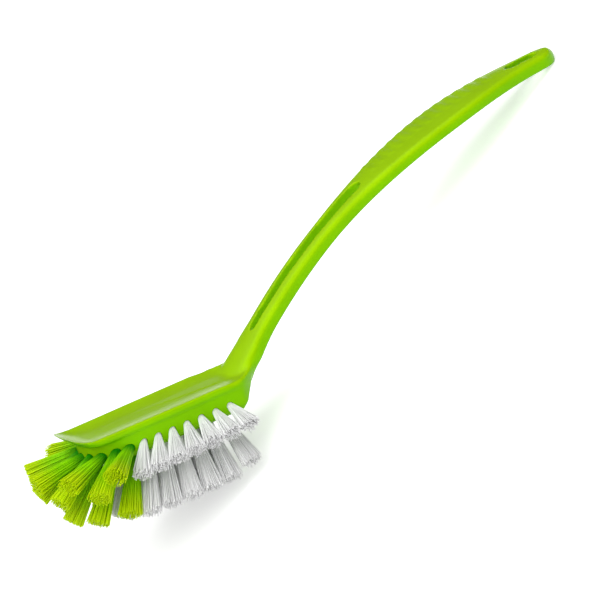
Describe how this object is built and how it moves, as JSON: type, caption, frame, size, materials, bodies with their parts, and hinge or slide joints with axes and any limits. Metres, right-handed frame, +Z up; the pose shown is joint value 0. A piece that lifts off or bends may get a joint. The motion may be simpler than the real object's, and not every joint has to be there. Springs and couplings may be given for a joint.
{
  "type": "sink brush",
  "caption": "Sink brush: an arched, slotted handle moulded with a tray-topped head, rows of white bristle tufts along the sides and below, and a fan of green tufts round the front.",
  "frame": {"origin": "Centre of the bounding box's base, on the surface that the brush rests on.", "axes": "+Z up; +X runs level from the head to the end of the handle; +Y runs across the head, to the left of someone who looks along +X."},
  "size_m": [0.2968, 0.0758, 0.0709],
  "materials": {
    "lime_plastic": "smooth moulded plastic, lime green, half gloss",
    "white_filament": "straight extruded filament, milky white",
    "green_filament": "straight extruded filament, yellow green"
  },
  "bodies": {
    "root": {"handle_and_head": "lime_plastic", "side_tuft_left_1": "white_filament", "side_tuft_left_2": "white_filament", "side_tuft_left_3": "white_filament", "side_tuft_left_4": "white_filament", "side_tuft_left_5": "white_filament", "side_tuft_left_6": "white_filament", "side_tuft_left_7": "white_filament", "front_tuft_left_1": "green_filament", "front_tuft_left_2": "green_filament", "front_tuft_left_3": "green_filament", "front_tuft_left_4": "green_filament", "lower_tuft_left_1": "white_filament", "lower_tuft_left_2": "white_filament", "lower_tuft_left_3": "white_filament", "lower_tuft_left_4": "white_filament", "lower_tuft_left_5": "white_filament", "lower_tuft_left_6": "white_filament", "lower_front_tuft_left_1": "green_filament", "lower_front_tuft_left_2": "green_filament", "inner_tuft_left_1": "white_filament", "inner_tuft_left_2": "white_filament", "inner_tuft_left_3": "white_filament", "inner_tuft_left_4": "white_filament", "inner_tuft_left_5": "white_filament", "inner_tuft_left_6": "white_filament", "side_tuft_right_1": "white_filament", "side_tuft_right_2": "white_filament", "side_tuft_right_3": "white_filament", "side_tuft_right_4": "white_filament", "side_tuft_right_5": "white_filament", "side_tuft_right_6": "white_filament", "side_tuft_right_7": "white_filament", "front_tuft_right_1": "green_filament", "front_tuft_right_2": "green_filament", "front_tuft_right_3": "green_filament", "front_tuft_right_4": "green_filament", "lower_tuft_right_1": "white_filament", "lower_tuft_right_2": "white_filament", "lower_tuft_right_3": "white_filament", "lower_tuft_right_4": "white_filament", "lower_tuft_right_5": "white_filament", "lower_tuft_right_6": "white_filament", "lower_front_tuft_right_1": "green_filament", "lower_front_tuft_right_2": "green_filament", "inner_tuft_right_1": "white_filament", "inner_tuft_right_2": "white_filament", "inner_tuft_right_3": "white_filament", "inner_tuft_right_4": "white_filament", "inner_tuft_right_5": "white_filament", "inner_tuft_right_6": "white_filament", "front_tuft_middle": "green_filament", "lower_front_tuft_middle": "green_filament"}
  },
  "joints": []
}
